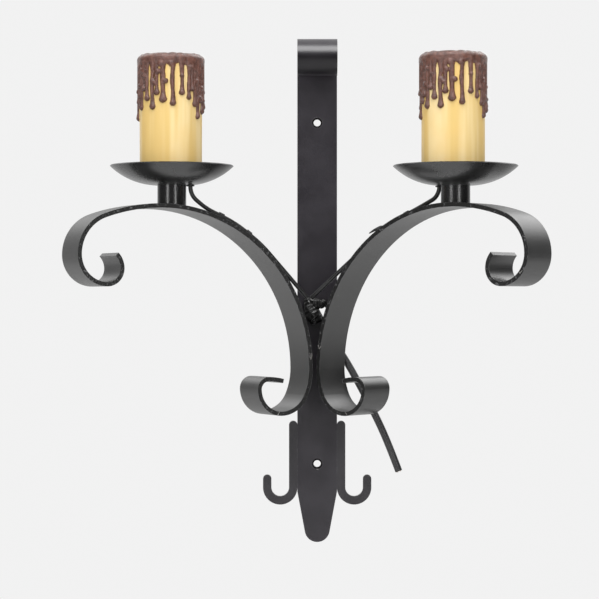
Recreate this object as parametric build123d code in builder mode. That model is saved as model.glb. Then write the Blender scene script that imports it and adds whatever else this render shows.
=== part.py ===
"""Two-light wall sconce: a flat iron strap carries two scroll arms, and each arm a drip pan and a
candle-style lamp. Millimetres, +Z up, +X right as seen from the room, +Y into the wall. The origin
is on the strap's back face, midway between its two screw holes.
"""

from build123d import *
import os
from math import asin, cos, degrees, pi, radians, sin, sqrt

# ---- strap -------------------------------------------------------------------------------------
STRAP_WIDTH = 38.1
STRAP_THICK = 6.35
SCREW_SPACING = 328.0
SCREW_HOLE = 7.0
WIRE_HOLE = 19.0
WIRE_HOLE_DROP = 19.0  # wire hole centre below the origin
EYE_TOP = 243.0  # height of the rolled eye's crown
EYE_RADIUS = 14.6  # bend radius at the middle of the bar
EYE_TURN = 262.0  # degrees that the end is rolled round
TONGUE_START = -190.7  # where the lower end starts to taper
TONGUE_TIP = -239.2
TONGUE_RADIUS = 12.0
TONGUE_TAPER = 10.4  # degrees each side

# ---- J hooks -----------------------------------------------------------------------------------
HOOK_STOCK = 8.0
HOOK_THICK = 5.0
HOOK_RADIUS = 12.5
HOOK_TOP = -122.7
HOOK_BEND_HEIGHT = -186.7  # centre of the bend
HOOK_TIP = -174.5

# ---- scroll arms -------------------------------------------------------------------------------
ARM_WIDTH = 38.1
ARM_THICK = 4.0
LEFT_SWING = 28.0  # degrees out from the wall
RIGHT_SWING = 39.5
ARM_OVERLAP = 6.4  # how far an arm's back edge reaches past the strap's front corner
ROOT_GAP = 0.2  # weld root gap between arm and strap corner
ARM_ROOT = -72.0  # height where the arm runs straight up
ARCH_RADIUS = 152.0
UPPER_BENDS = [(ARCH_RADIUS, 90.0), (175.0, 19.4), (37.4, 70.6), (27.0, 90.0), (14.5, 90.0), (18.0, 45.0)]
LOWER_BENDS = [(60.0, 25.0), (28.0, 65.0), (23.3, 90.0), (9.5, 90.0), (60.0, 15.0)]

# ---- lamp stack --------------------------------------------------------------------------------
LEFT_REACH = 136.0  # from the arm's root to the candle's axis, along the arm
RIGHT_REACH = 146.0
NECK_OUTER = 26.7
NECK_WALL = 2.9
NECK_HEIGHT = {"left": 18.6, "right": 16.2}  # cut to bring the two lamps level to the eye
PAN_DIAMETER = 114.3
PAN_DEPTH = 17.6
PAN_THICK = 1.2
PAN_FLAT = 13.6  # radius of the flat centre
NIPPLE_OUTER = 9.7
NIPPLE_BORE = 6.6
NUT_FLATS = 15.0
NUT_HEIGHT = 4.0
PLUG_HEIGHT = 9.0
NIPPLE_PROUD = 3.0
COVER_OUTER = 57.6
COVER_BORE = 42.0
COVER_HEIGHT = 115.0
COVER_LIP_BORE = 37.0
COVER_LIP_DEPTH = 7.0
COVER_ROUND = 5.0
COVER_SHIFT = {"left": -1.0, "right": -2.4}  # each loose cover stands a little left of its socket
SOCKET_OUTER = 34.0
SOCKET_HEIGHT = 44.0
SOCKET_DROP = 9.0  # socket's mouth below the cover's top
SHELL_BORE = 26.4  # medium screw base
SHELL_WALL = 0.5
SHELL_DEPTH = 25.0
SHELL_INSET = 2.0  # below the socket's mouth
SHELL_LIFT = 2.0  # above the cavity's floor, clear of the contact
CONTACT_DIAMETER = 9.0
CONTACT_HEIGHT = 1.5
BRACKET_THICK = 2.0
BRACKET_WIDTH = 12.0

# ---- wiring ------------------------------------------------------------------------------------
LEAD_DIAMETER = 4.0
LEAD_HOLE_REACH = 17.2  # lead hole's distance from the candle's axis
LEAD_SOCKET_REACH = 12.5
LEAD_DROP = 20.0  # straight stretch below the socket and above the pan
LEAD_BELOW_PAN = 9.0
LEAD_SPREAD = 2.2  # half the distance between the leads where they enter the splice
CLIP_WIDTH = 5.0
CLIP_THICK = 0.8
LEAD_LIFT = CLIP_THICK + 0.2  # the clips pass between lead and arm
LEAD_SHARE = 0.38  # of the shorter run, taken by each bend, so the lead is straight in its bushing
LANDING_TURN = {"left": 6.0, "right": 8.0}  # degrees round the arch from below the hole to the first corner
ARCH_STEP = 12.0  # degrees between the lead's corners over the arch
ARCH_CORNERS = 3
BUSHING_OUTER = 7.4
BUSHING_LIP = 1.0
BUSHING_RISE = 0.6  # the dish rises a little under the upper lip
CORD_DIAMETER = 7.0
SLEEVE_DIAMETER = 10.0
SLEEVE_LENGTH = 12.0
CLEARANCE = 0.3
FIT = 0.05  # threads and seats

os.makedirs("parts", exist_ok=True)
SIDES = {"left": -1, "right": 1}


def finish(builder, label):
    """Label a finished piece and write its STEP file."""
    builder.part.label = label
    export_step(builder.part, f"parts/{label}.step")


# ---- strap: one bar, its top rolled into an eye, its foot forged to a tongue --------------------
half_strap = STRAP_WIDTH / 2
eye_axis_height = EYE_TOP - STRAP_THICK / 2 - EYE_RADIUS
tongue_edge_z = TONGUE_TIP + TONGUE_RADIUS * (1 - sin(radians(TONGUE_TAPER)))
tongue_edge_x = TONGUE_RADIUS * cos(radians(TONGUE_TAPER))

with BuildPart() as strap:
    with BuildSketch(Plane.YZ):
        with BuildLine():
            back = JernArc((0, eye_axis_height), (0, 1), EYE_RADIUS + STRAP_THICK / 2, EYE_TURN)
            front = JernArc((-STRAP_THICK, eye_axis_height), (0, 1), EYE_RADIUS - STRAP_THICK / 2, EYE_TURN)
            Line(back @ 1, front @ 1)
            Line(back @ 0, (0, TONGUE_START))
            Line((0, TONGUE_START), (-STRAP_THICK, TONGUE_START))
            Line((-STRAP_THICK, TONGUE_START), front @ 0)
        make_face()
    extrude(amount=half_strap, both=True)
    with BuildSketch(Plane.XZ):
        with BuildLine():
            Polyline(
                (-tongue_edge_x, tongue_edge_z),
                (-half_strap, TONGUE_START),
                (half_strap, TONGUE_START),
                (tongue_edge_x, tongue_edge_z),
            )
            ThreePointArc((tongue_edge_x, tongue_edge_z), (0, TONGUE_TIP), (-tongue_edge_x, tongue_edge_z))
        make_face()
    extrude(amount=STRAP_THICK)
    with BuildSketch(Plane.XZ):
        with Locations((0, SCREW_SPACING / 2), (0, -SCREW_SPACING / 2)):
            Circle(SCREW_HOLE / 2)
        with Locations((0, -WIRE_HOLE_DROP)):
            Circle(WIRE_HOLE / 2)
    extrude(amount=STRAP_THICK, mode=Mode.SUBTRACT)
finish(strap, "strap")

# ---- J hooks: flat bar, welded edge to edge with the strap, front faces flush -------------------
for side_name, side in SIDES.items():
    stem_x = half_strap + HOOK_STOCK / 2
    with BuildPart() as hook:
        with BuildSketch(Plane.XZ.offset(STRAP_THICK - HOOK_THICK)):
            with BuildLine():
                stem = Line((side * stem_x, HOOK_TOP - HOOK_STOCK / 2), (side * stem_x, HOOK_BEND_HEIGHT))
                bend = JernArc(stem @ 1, (0, -1), HOOK_RADIUS, side * 180)
                Line(bend @ 1, (side * (stem_x + 2 * HOOK_RADIUS), HOOK_TIP - HOOK_STOCK / 2))
            trace(line_width=HOOK_STOCK)
            with Locations((side * stem_x, HOOK_TOP - HOOK_STOCK / 2)):
                Circle(HOOK_STOCK / 2)
            with Locations((side * (stem_x + 2 * HOOK_RADIUS), HOOK_TIP - HOOK_STOCK / 2)):
                Circle(HOOK_STOCK / 2)
        extrude(amount=HOOK_THICK)
    finish(hook, f"{side_name}_hook")


# ---- scroll arms: flat bar bent on edge to one pattern, set as a V across the strap --------------
class Arm:
    """Where one arm stands. Its own frame has reach outwards, height up, and offset to the room."""

    def __init__(self, side, swing):
        self.side = side
        self.c = cos(radians(swing))
        self.s = sin(radians(swing))
        half_face = ARM_THICK / 2 + ROOT_GAP
        inboard = ARM_WIDTH / 2 - ARM_OVERLAP
        self.x = side * (half_strap + half_face * self.c - inboard * self.s)
        self.forward = STRAP_THICK + half_face * self.s + inboard * self.c
        self.plane = Plane(origin=(self.x, -self.forward, 0), x_dir=(side * self.c, -self.s, 0),
                           z_dir=(-self.s, -side * self.c, 0))

    def point(self, reach, height, offset=0.0):
        x = self.x + self.side * (reach * self.c - offset * self.s)
        return Vector(x, -(self.forward + reach * self.s + offset * self.c), height)


arms = {"left": Arm(-1, LEFT_SWING), "right": Arm(1, RIGHT_SWING)}
arm_parts = {}


def bend_face(skin):
    """Draw one face line of the arm: skin is +1 on the inside of its bends, -1 on the outside."""
    ends = []
    for bends, heading, turn_sign in ((UPPER_BENDS, (0, 1), -1), (LOWER_BENDS, (0, -1), 1)):
        start = (skin * ARM_THICK / 2, ARM_ROOT)
        for radius, turn in bends:
            arc = JernArc(start, heading, radius - skin * ARM_THICK / 2, turn_sign * turn)
            start = arc @ 1
            heading = arc % 1
        ends.append(start)
    return ends


def arch_height(reach, skin):
    """Height of the arch's outside (skin -1) or inside (+1) face at a reach."""
    radius = ARCH_RADIUS - skin * ARM_THICK / 2
    return ARM_ROOT + sqrt(radius**2 - (ARCH_RADIUS - reach) ** 2)


reaches = {"left": LEFT_REACH, "right": RIGHT_REACH}
for name, arm in arms.items():
    with BuildPart() as scroll:
        with BuildSketch(arm.plane):
            with BuildLine():
                inside = bend_face(1)
                outside = bend_face(-1)
                for one, other in zip(inside, outside):
                    Line(one, other)
            make_face()
        extrude(amount=ARM_WIDTH / 2, both=True)
    arm_parts[name] = scroll.part
    finish(scroll, f"{name}_scroll_arm")

# ---- welds --------------------------------------------------------------------------------------
ARM_WELD_LENGTH = 34.0
ARM_WELD_TOP = -48.0
ARM_WELD_RADIUS = 1.6
HOOK_WELD_LENGTH = 44.0
HOOK_WELD_DROP = 8.0
HOOK_WELD_RADIUS = 1.2

with BuildPart() as arm_welds:
    for side in SIDES.values():
        corner = (side * (half_strap - ARM_WELD_RADIUS * 0.6), -STRAP_THICK - ARM_WELD_RADIUS * 0.5)
        with BuildSketch(Plane.XY.offset(ARM_WELD_TOP)):
            with Locations(corner):
                Circle(ARM_WELD_RADIUS)
        extrude(amount=-ARM_WELD_LENGTH)
finish(arm_welds, "arm_welds")

with BuildPart() as hook_welds:
    for side in SIDES.values():
        with BuildSketch(Plane.XY.offset(HOOK_TOP - HOOK_WELD_DROP)):
            with Locations((side * half_strap, -STRAP_THICK + HOOK_THICK)):
                Circle(HOOK_WELD_RADIUS)
        extrude(amount=-HOOK_WELD_LENGTH)
finish(hook_welds, "hook_welds")

# ---- lamp stacks: neck on the arm, plug and nipple in it, pan, nut, bracket, socket, cover ------
pan_curve = ((PAN_DIAMETER / 2 - PAN_FLAT) ** 2 + PAN_DEPTH**2) / (2 * PAN_DEPTH)
pan_rim_turn = degrees(asin((PAN_DIAMETER / 2 - PAN_FLAT) / pan_curve))
stacks = {}

for name, arm in arms.items():
    reach = reaches[name]
    axis = arm.point(reach, 0)
    place = (axis.X, axis.Y)
    arch_axis = Plane(origin=arm.point(ARCH_RADIUS, ARM_ROOT), x_dir=arm.plane.x_dir, z_dir=arm.plane.z_dir)
    seat_low = arch_height(reach, 1) - ARM_THICK
    pan_low = arch_height(reach, -1) + NECK_HEIGHT[name]
    floor = pan_low + PAN_THICK
    nut_top = floor + NUT_HEIGHT
    bracket_top = nut_top + BRACKET_THICK

    with BuildPart() as neck:
        with BuildSketch(Plane.XY.offset(seat_low)):
            with Locations(place):
                Circle(NECK_OUTER / 2)
                Circle(NECK_OUTER / 2 - NECK_WALL, mode=Mode.SUBTRACT)
        extrude(amount=pan_low - seat_low)
        with BuildSketch(arch_axis):
            Circle(ARCH_RADIUS + ARM_THICK / 2)
        extrude(amount=ARM_WIDTH, both=True, mode=Mode.SUBTRACT)
        add(arm_parts[name], mode=Mode.SUBTRACT)
    finish(neck, f"{name}_neck_tube")

    plug_low = pan_low - PLUG_HEIGHT
    with BuildPart() as plug:
        with BuildSketch(Plane.XY.offset(plug_low)):
            with Locations(place):
                Circle(NECK_OUTER / 2 - NECK_WALL)
                Circle(NIPPLE_OUTER / 2 + FIT, mode=Mode.SUBTRACT)
        extrude(amount=PLUG_HEIGHT)
    finish(plug, f"{name}_neck_plug")

    with BuildPart() as nipple:
        with BuildSketch(Plane.XY.offset(plug_low)):
            with Locations(place):
                Circle(NIPPLE_OUTER / 2)
                Circle(NIPPLE_BORE / 2, mode=Mode.SUBTRACT)
        extrude(amount=bracket_top + NIPPLE_PROUD - plug_low)
    finish(nipple, f"{name}_threaded_nipple")

    # The lead leaves the pan towards the strap: beside the neck on the left, behind it on the right.
    lead_turn = radians(0 if name == "left" else 35)
    hole = (axis.X - arm.side * LEAD_HOLE_REACH * cos(lead_turn), axis.Y + LEAD_HOLE_REACH * sin(lead_turn))

    with BuildPart() as pan:
        with BuildSketch(Plane(origin=(axis.X, axis.Y, pan_low), x_dir=(1, 0, 0), z_dir=(0, -1, 0))):
            with BuildLine():
                under = Line((NIPPLE_OUTER / 2 + CLEARANCE, 0), (PAN_FLAT, 0))
                under_dish = JernArc(under @ 1, (1, 0), pan_curve, pan_rim_turn)
                upper = Line((NIPPLE_OUTER / 2 + CLEARANCE, PAN_THICK), (PAN_FLAT, PAN_THICK))
                upper_dish = JernArc(upper @ 1, (1, 0), pan_curve - PAN_THICK, pan_rim_turn)
                Line(under_dish @ 1, upper_dish @ 1)
                Line(under @ 0, upper @ 0)
            make_face()
        revolve(axis=Axis((axis.X, axis.Y, 0), (0, 0, 1)))
        with BuildSketch(Plane.XY.offset(pan_low - PAN_DEPTH)):
            with Locations(hole):
                Circle(BUSHING_OUTER / 2 - BUSHING_LIP)
        extrude(amount=3 * PAN_DEPTH, mode=Mode.SUBTRACT)
    finish(pan, f"{name}_drip_pan")

    with BuildPart() as pan_nut:
        with BuildSketch(Plane.XY.offset(floor)):
            with Locations(place):
                RegularPolygon(NUT_FLATS / 2, 6, major_radius=False)
                Circle(NIPPLE_OUTER / 2 + FIT, mode=Mode.SUBTRACT)
        extrude(amount=NUT_HEIGHT)
    finish(pan_nut, f"{name}_pan_nut")

    # The cover stands on the dish, its lower edge where the dish has risen to meet it.
    cover_place = (axis.X + COVER_SHIFT[name], axis.Y)
    seat_reach = COVER_OUTER / 2 + abs(COVER_SHIFT[name]) - PAN_FLAT
    dish_inside = pan_curve - PAN_THICK
    cover_low = floor + dish_inside - sqrt(dish_inside**2 - seat_reach**2) + CLEARANCE
    cover_top = cover_low + COVER_HEIGHT
    socket_low = cover_top - SOCKET_DROP - SOCKET_HEIGHT

    with BuildPart() as bracket:
        leg_x = SOCKET_OUTER / 2 - BRACKET_THICK
        rise = socket_low - nut_top
        upright = Plane(origin=(axis.X, axis.Y, nut_top), x_dir=(arm.side, 0, 0), z_dir=(0, -arm.side, 0))
        with BuildSketch(upright):
            with Locations(((leg_x - NUT_FLATS / 2) / 2, BRACKET_THICK / 2)):
                Rectangle(leg_x + NUT_FLATS / 2, BRACKET_THICK)
            with Locations(((leg_x - NUT_FLATS / 2) / 2, rise - BRACKET_THICK / 2)):
                Rectangle(leg_x + NUT_FLATS / 2, BRACKET_THICK)
            with Locations((leg_x - BRACKET_THICK / 2, rise / 2)):
                Rectangle(BRACKET_THICK, rise)
        extrude(amount=BRACKET_WIDTH / 2, both=True)
        with BuildSketch(Plane.XY.offset(nut_top)):
            with Locations(place):
                Circle(NIPPLE_OUTER / 2 + FIT)
        extrude(amount=NUT_HEIGHT + BRACKET_THICK, mode=Mode.SUBTRACT)
    finish(bracket, f"{name}_socket_bracket")

    shell_top = socket_low + SOCKET_HEIGHT - SHELL_INSET
    cavity_floor = shell_top - SHELL_DEPTH - SHELL_LIFT
    with BuildPart() as socket:
        with BuildSketch(Plane.XY.offset(socket_low)):
            with Locations(place):
                Circle(SOCKET_OUTER / 2)
        extrude(amount=SOCKET_HEIGHT)
        with BuildSketch(Plane.XY.offset(cavity_floor)):
            with Locations(place):
                Circle(SHELL_BORE / 2 + SHELL_WALL + FIT)
        extrude(amount=SOCKET_HEIGHT, mode=Mode.SUBTRACT)
    finish(socket, f"{name}_socket_body")

    with BuildPart() as shell:
        with BuildSketch(Plane.XY.offset(shell_top)):
            with Locations(place):
                Circle(SHELL_BORE / 2 + SHELL_WALL)
                Circle(SHELL_BORE / 2, mode=Mode.SUBTRACT)
        extrude(amount=-SHELL_DEPTH)
    finish(shell, f"{name}_screw_shell")

    with BuildPart() as contact:
        with BuildSketch(Plane.XY.offset(cavity_floor)):
            with Locations(place):
                Circle(CONTACT_DIAMETER / 2)
        extrude(amount=CONTACT_HEIGHT)
    finish(contact, f"{name}_centre_contact")

    with BuildPart() as cover:
        with BuildSketch(Plane.XY.offset(cover_low)):
            with Locations(cover_place):
                Circle(COVER_OUTER / 2)
        extrude(amount=COVER_HEIGHT)
        fillet(cover.edges().filter_by(GeomType.CIRCLE).sort_by(Axis.Z)[-1], COVER_ROUND)
        with BuildSketch(Plane.XY.offset(cover_low)):
            with Locations(cover_place):
                Circle(COVER_BORE / 2)
        extrude(amount=COVER_HEIGHT - COVER_LIP_DEPTH, mode=Mode.SUBTRACT)
        with BuildSketch(Plane.XY.offset(cover_low)):
            with Locations(cover_place):
                Circle(COVER_LIP_BORE / 2)
        extrude(amount=COVER_HEIGHT, mode=Mode.SUBTRACT)
    finish(cover, f"{name}_candle_cover")

    with BuildPart() as bushing:
        for level, radius, height in (
            (pan_low - BUSHING_LIP, BUSHING_OUTER / 2, BUSHING_LIP - FIT),
            (pan_low - FIT, BUSHING_OUTER / 2 - BUSHING_LIP - FIT, PAN_THICK + 2 * BUSHING_LIP),
            (floor + BUSHING_RISE, BUSHING_OUTER / 2, BUSHING_LIP),
        ):
            with BuildSketch(Plane.XY.offset(level)):
                with Locations(hole):
                    Circle(radius)
            extrude(amount=height)
        with BuildSketch(Plane.XY.offset(pan_low - 2 * BUSHING_LIP)):
            with Locations(hole):
                Circle(LEAD_DIAMETER / 2 + FIT)
        extrude(amount=NUT_HEIGHT * 3, mode=Mode.SUBTRACT)
    finish(bushing, f"{name}_lead_bushing")

    stacks[name] = {"axis": axis, "hole": hole, "pan_low": pan_low, "floor": floor, "socket_low": socket_low}

# ---- splice: the two leads and the supply cord meet in a sleeve in front of the wire hole --------
CORD_POINTS = [
    (-3.6, -10.1, -12.1),
    (4.9, 6.6, -28.5),
    (17.2, 5.4, -48.8),
    (31.6, 2.6, -70.6),
    (55.6, -3.9, -116.2),
    (68.3, -4.6, -144.0),
    (78.5, -4.9, -171.0),
]
cord_start = Vector(CORD_POINTS[0])
cord_way = (Vector(CORD_POINTS[1]) - cord_start).normalized()
sleeve_top = cord_start - cord_way * SLEEVE_LENGTH

with BuildPart() as sleeve:
    with BuildSketch(Plane(origin=sleeve_top, z_dir=cord_way)):
        Circle(SLEEVE_DIAMETER / 2)
    extrude(amount=SLEEVE_LENGTH)
finish(sleeve, "splice_sleeve")


def bend_radii(points, share):
    """The radius at each corner that uses the same share of the shorter run beside it."""
    radii = []
    for before, corner, after in zip(points, points[1:], points[2:]):
        first = Vector(corner) - Vector(before)
        second = Vector(after) - Vector(corner)
        half_turn = radians(first.get_angle(second) / 2)
        radii.append(share * min(first.length, second.length) * cos(half_turn) / sin(half_turn))
    return radii


def round_wire(label, points, diameter, share=0.45):
    """A plain round wire along straight runs joined by tangent arcs."""
    radii = bend_radii(points, share)
    with BuildPart() as wire:
        with BuildLine() as path:
            FilletPolyline(*points, radius=radii)
        run = path.wires()[0]
        with BuildSketch(Plane(origin=run @ 0, z_dir=run % 0)):
            Circle(diameter / 2)
        sweep()
    finish(wire, label)
    expected = pi * diameter**2 / 4 * run.length
    print(f"{label}: length {run.length:.1f}, volume ratio {wire.part.volume / expected:.4f}, radii",
          ", ".join(f"{radius:.0f}" for radius in radii))


# ---- leads: from each socket, out through the pan, along the arm's outside and down to the splice --
lead_orbit = ARCH_RADIUS + ARM_THICK / 2 + LEAD_DIAMETER / 2 + LEAD_LIFT


def on_arch(arm, turn, offset, radius):
    """A point over the arch, turn degrees round from its crown towards the strap."""
    angle = radians(turn)
    return arm.point(ARCH_RADIUS - radius * sin(angle), ARM_ROOT + radius * cos(angle), offset)


for name, arm in arms.items():
    stack = stacks[name]
    axis, hole = stack["axis"], stack["hole"]
    inward = Vector(hole[0] - axis.X, hole[1] - axis.Y, 0) / LEAD_HOLE_REACH
    step = Vector(hole[0] - arm.x, hole[1] + arm.forward, 0)
    hole_offset = step.X * -arm.side * arm.s - step.Y * arm.c
    hole_reach = step.X * arm.side * arm.c - step.Y * arm.s
    first_turn = degrees(asin((ARCH_RADIUS - hole_reach) / lead_orbit)) + LANDING_TURN[name]
    turns = [first_turn + ARCH_STEP * corner for corner in range(ARCH_CORNERS)]
    corner_orbit = lead_orbit / cos(radians(ARCH_STEP / 2))
    points = [
        Vector(axis.X, axis.Y, stack["socket_low"]) + inward * LEAD_SOCKET_REACH,
        Vector(axis.X, axis.Y, stack["socket_low"] - LEAD_DROP) + inward * LEAD_SOCKET_REACH,
        Vector(hole[0], hole[1], stack["floor"] + LEAD_DROP),
        Vector(hole[0], hole[1], stack["pan_low"] - LEAD_BELOW_PAN),
    ]
    points += [on_arch(arm, turn, hole_offset, corner_orbit) for turn in turns]
    points.append(sleeve_top + Vector(arm.side * LEAD_SPREAD, 0, 0))
    round_wire(f"{name}_lead", [tuple(point) for point in points], LEAD_DIAMETER, LEAD_SHARE)

    with BuildPart() as clips:
        for before, after in zip(turns, turns[1:]):
            middle = (before + after) / 2
            centre = on_arch(arm, middle, hole_offset, lead_orbit)
            arch_centre = arm.point(ARCH_RADIUS, ARM_ROOT, hole_offset)
            along = on_arch(arm, middle + 90, hole_offset, lead_orbit) - arch_centre
            with BuildSketch(Plane(origin=centre, z_dir=along)):
                Circle(LEAD_DIAMETER / 2 + FIT * 2 + CLIP_THICK)
                Circle(LEAD_DIAMETER / 2 + FIT * 2, mode=Mode.SUBTRACT)
            extrude(amount=CLIP_WIDTH / 2, both=True)
    finish(clips, f"{name}_lead_clips")

# ---- supply cord: through the wire hole, behind the right arm, its cut end hanging free -----------
round_wire("supply_cord", CORD_POINTS, CORD_DIAMETER)
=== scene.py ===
"""Two-light wall sconce: a black iron strap with scroll arms, drip pans and resin candle covers.
The iron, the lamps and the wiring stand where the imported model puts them. Metres, +Z up, +Y into
the wall.
"""

import math
import bmesh
import bpy
import numpy as np
from mathutils import Matrix, Vector


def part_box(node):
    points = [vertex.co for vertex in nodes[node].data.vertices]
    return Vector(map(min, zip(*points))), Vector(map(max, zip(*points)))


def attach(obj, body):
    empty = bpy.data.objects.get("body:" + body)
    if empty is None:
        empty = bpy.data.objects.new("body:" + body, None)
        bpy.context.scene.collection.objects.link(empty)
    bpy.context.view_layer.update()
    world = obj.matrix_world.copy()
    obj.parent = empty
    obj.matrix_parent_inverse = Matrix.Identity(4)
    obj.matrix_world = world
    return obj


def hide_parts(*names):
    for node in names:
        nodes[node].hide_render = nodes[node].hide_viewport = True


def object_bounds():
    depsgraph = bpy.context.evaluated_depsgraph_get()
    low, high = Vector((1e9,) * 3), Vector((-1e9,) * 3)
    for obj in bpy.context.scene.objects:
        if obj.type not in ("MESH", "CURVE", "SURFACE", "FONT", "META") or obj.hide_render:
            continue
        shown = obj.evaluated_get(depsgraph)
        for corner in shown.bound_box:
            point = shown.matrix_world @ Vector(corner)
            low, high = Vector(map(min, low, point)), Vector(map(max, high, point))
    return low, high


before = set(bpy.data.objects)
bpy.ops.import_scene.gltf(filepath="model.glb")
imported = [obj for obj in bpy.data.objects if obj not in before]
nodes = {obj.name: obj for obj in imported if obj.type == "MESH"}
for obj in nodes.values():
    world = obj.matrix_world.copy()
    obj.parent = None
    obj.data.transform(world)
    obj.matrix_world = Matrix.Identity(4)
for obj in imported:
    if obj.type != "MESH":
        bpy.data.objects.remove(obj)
cad_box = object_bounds()
SIDES = ("left", "right")

# ---- Camera, light and floor --------------------------------------------------------------------
# A long lens looks straight at the wall plate. Soft boxes stand left and right of the lens, each with
# a tall strip under it, one more hangs overhead, and the pale room and floor fill the rest.
scene = bpy.context.scene
scene.view_settings.view_transform = "Standard"

CAMERA_PLACE = Vector((-0.017, -2.030, -0.006))
FIELD_WIDTH = 0.5778  # seen across the wall plane
SENSOR = 36.0
camera_data = bpy.data.cameras.new("camera")
camera_data.sensor_width = SENSOR
camera_data.lens = SENSOR * -CAMERA_PLACE.y / FIELD_WIDTH
camera = bpy.data.objects.new("camera", camera_data)
camera.location = CAMERA_PLACE
camera.rotation_euler = (math.radians(90), 0, 0)
scene.collection.objects.link(camera)
scene.camera = camera


def add_node(tree, kind, inputs=None, **settings):
    """Add a shader node, set its settings, and set or link its inputs."""
    node = tree.nodes.new(kind)
    for key, value in settings.items():
        setattr(node, key, value)
    for key, value in (inputs or {}).items():
        if isinstance(value, bpy.types.NodeSocket):
            tree.links.new(value, node.inputs[key])
        else:
            node.inputs[key].default_value = value
    return node


def math_node(tree, operation, first, second=0.0, clamp=False):
    """One arithmetic step, and its result socket."""
    inputs = {0: first, 1: second}
    return add_node(tree, "ShaderNodeMath", inputs, operation=operation, use_clamp=clamp).outputs[0]


def product(tree, first, second, clamp=False):
    """The product of two values."""
    return math_node(tree, "MULTIPLY", first, second, clamp)


def vector_node(tree, operation, first, second=(0.0, 0.0, 0.0), out="Vector"):
    """One vector step, and its result socket, which is "Value" where the result is a number."""
    return add_node(tree, "ShaderNodeVectorMath", {0: first, 1: second}, operation=operation).outputs[out]


def object_place(tree):
    """Where a point of the surface is in its object."""
    return add_node(tree, "ShaderNodeTexCoord").outputs["Object"]


def surface_normal(tree):
    """Which way the surface faces."""
    return add_node(tree, "ShaderNodeNewGeometry").outputs["Normal"]


def smooth_step(tree, value, low, high, low_out=0.0, high_out=1.0):
    """Ease a value from one level to another between two thresholds."""
    inputs = {"Value": value, "From Min": low, "From Max": high, "To Min": low_out, "To Max": high_out}
    return add_node(tree, "ShaderNodeMapRange", inputs, interpolation_type="SMOOTHSTEP").outputs["Result"]


def mix_colour(tree, factor, first, second, blend="MIX"):
    """Mix two colours, either of which may be a socket."""
    node = add_node(tree, "ShaderNodeMix", data_type="RGBA", blend_type=blend)
    for socket, value in ((node.inputs[0], factor), (node.inputs[6], first), (node.inputs[7], second)):
        if isinstance(value, bpy.types.NodeSocket):
            tree.links.new(value, socket)
        elif isinstance(value, float):
            socket.default_value = value
        else:
            socket.default_value = (*value, 1.0)
    return node.outputs[2]


def mix_value(tree, factor, first, second):
    """Mix two values, either of which may be a socket."""
    return add_node(tree, "ShaderNodeMix", {0: factor, 2: first, 3: second}, data_type="FLOAT").outputs[0]


ROOM_WHITE = (0.885, 0.885, 0.885)
# What the finish mirrors from each part of the room, and the even light on what scatters it.
ROOM_BACK = 0.85
ROOM_SIDES = (0.09, 0.02)  # left and right
ROOM_CEILING = 0.9
ROOM_CORNERS = (2.5, 3.8)  # high up behind, left and right
ROOM_FILL = 0.55

world = bpy.data.worlds.new("studio")
scene.world = world
world.use_nodes = True
tree = world.node_tree
tree.nodes.clear()
way = add_node(tree, "ShaderNodeSeparateXYZ", {0: add_node(tree, "ShaderNodeTexCoord").outputs["Generated"]})
across, back, up = way.outputs
room_parts = [
    smooth_step(tree, across, -0.7, 0.5, *ROOM_SIDES),
    smooth_step(tree, back, 0.0, 1.0, 0.0, ROOM_BACK),
    smooth_step(tree, up, 0.30, 0.80, 0.0, ROOM_CEILING),
]
corner = product(tree, smooth_step(tree, math_node(tree, "ABSOLUTE", across), 0.10, 0.35),
                 smooth_step(tree, across, -0.1, 0.1, *ROOM_CORNERS))
for wanted in (smooth_step(tree, up, 0.25, 0.60), smooth_step(tree, back, 0.10, 0.50)):
    corner = product(tree, corner, wanted)
level = corner
for part in room_parts:
    level = math_node(tree, "MAXIMUM", level, part)
light_path = add_node(tree, "ShaderNodeLightPath")
filled = mix_value(tree, light_path.outputs["Is Diffuse Ray"], level, ROOM_FILL)
room = add_node(tree, "ShaderNodeBackground", {"Color": (1.0, 1.0, 1.0, 1.0), "Strength": filled})
seen = add_node(tree, "ShaderNodeBackground", {"Color": (*ROOM_WHITE, 1.0), "Strength": 1.0})
seen_rays = math_node(tree, "MAXIMUM", light_path.outputs["Is Camera Ray"],
                      light_path.outputs["Is Transmission Ray"])
both = add_node(tree, "ShaderNodeMixShader", {0: seen_rays, 1: room.outputs[0], 2: seen.outputs[0]})
add_node(tree, "ShaderNodeOutputWorld", {"Surface": both.outputs[0]})

LIGHT_TARGET = Vector((0.0, -0.06, 0.04))
SOFT_BOXES = (  # azimuth, elevation, distance, width, height, watts
    (-47.0, 30.0, 1.7, 0.55, 0.8, 2.6),
    (24.0, 30.0, 1.7, 0.45, 0.7, 2.6),
    (-2.0, 58.0, 1.5, 1.5, 0.9, 20.0),
    (-34.0, 0.0, 1.6, 0.30, 1.1, 4.6),
    (28.0, 0.0, 1.6, 0.24, 1.1, 4.6),
)
for number, (azimuth, elevation, distance, width, height, watts) in enumerate(SOFT_BOXES):
    lamp = bpy.data.lights.new(f"soft_box_{number}", "AREA")
    lamp.shape = "RECTANGLE"
    lamp.size = width
    lamp.size_y = height
    lamp.energy = watts
    stand = bpy.data.objects.new(lamp.name, lamp)
    a = math.radians(azimuth)
    e = math.radians(elevation)
    away = Vector((math.sin(a) * math.cos(e), -math.cos(a) * math.cos(e), math.sin(e)))
    stand.location = LIGHT_TARGET + away * distance
    stand.rotation_euler = away.to_track_quat("Z", "Y").to_euler()
    scene.collection.objects.link(stand)


def material_tree(name):
    """A new material with nothing in it but an output, which is returned with its tree."""
    material = bpy.data.materials.new(name)
    material.use_nodes = True
    material.node_tree.nodes.clear()
    output = material.node_tree.nodes.new("ShaderNodeOutputMaterial")
    return material, material.node_tree, output


MERGE_DISTANCE = 1e-7


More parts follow.
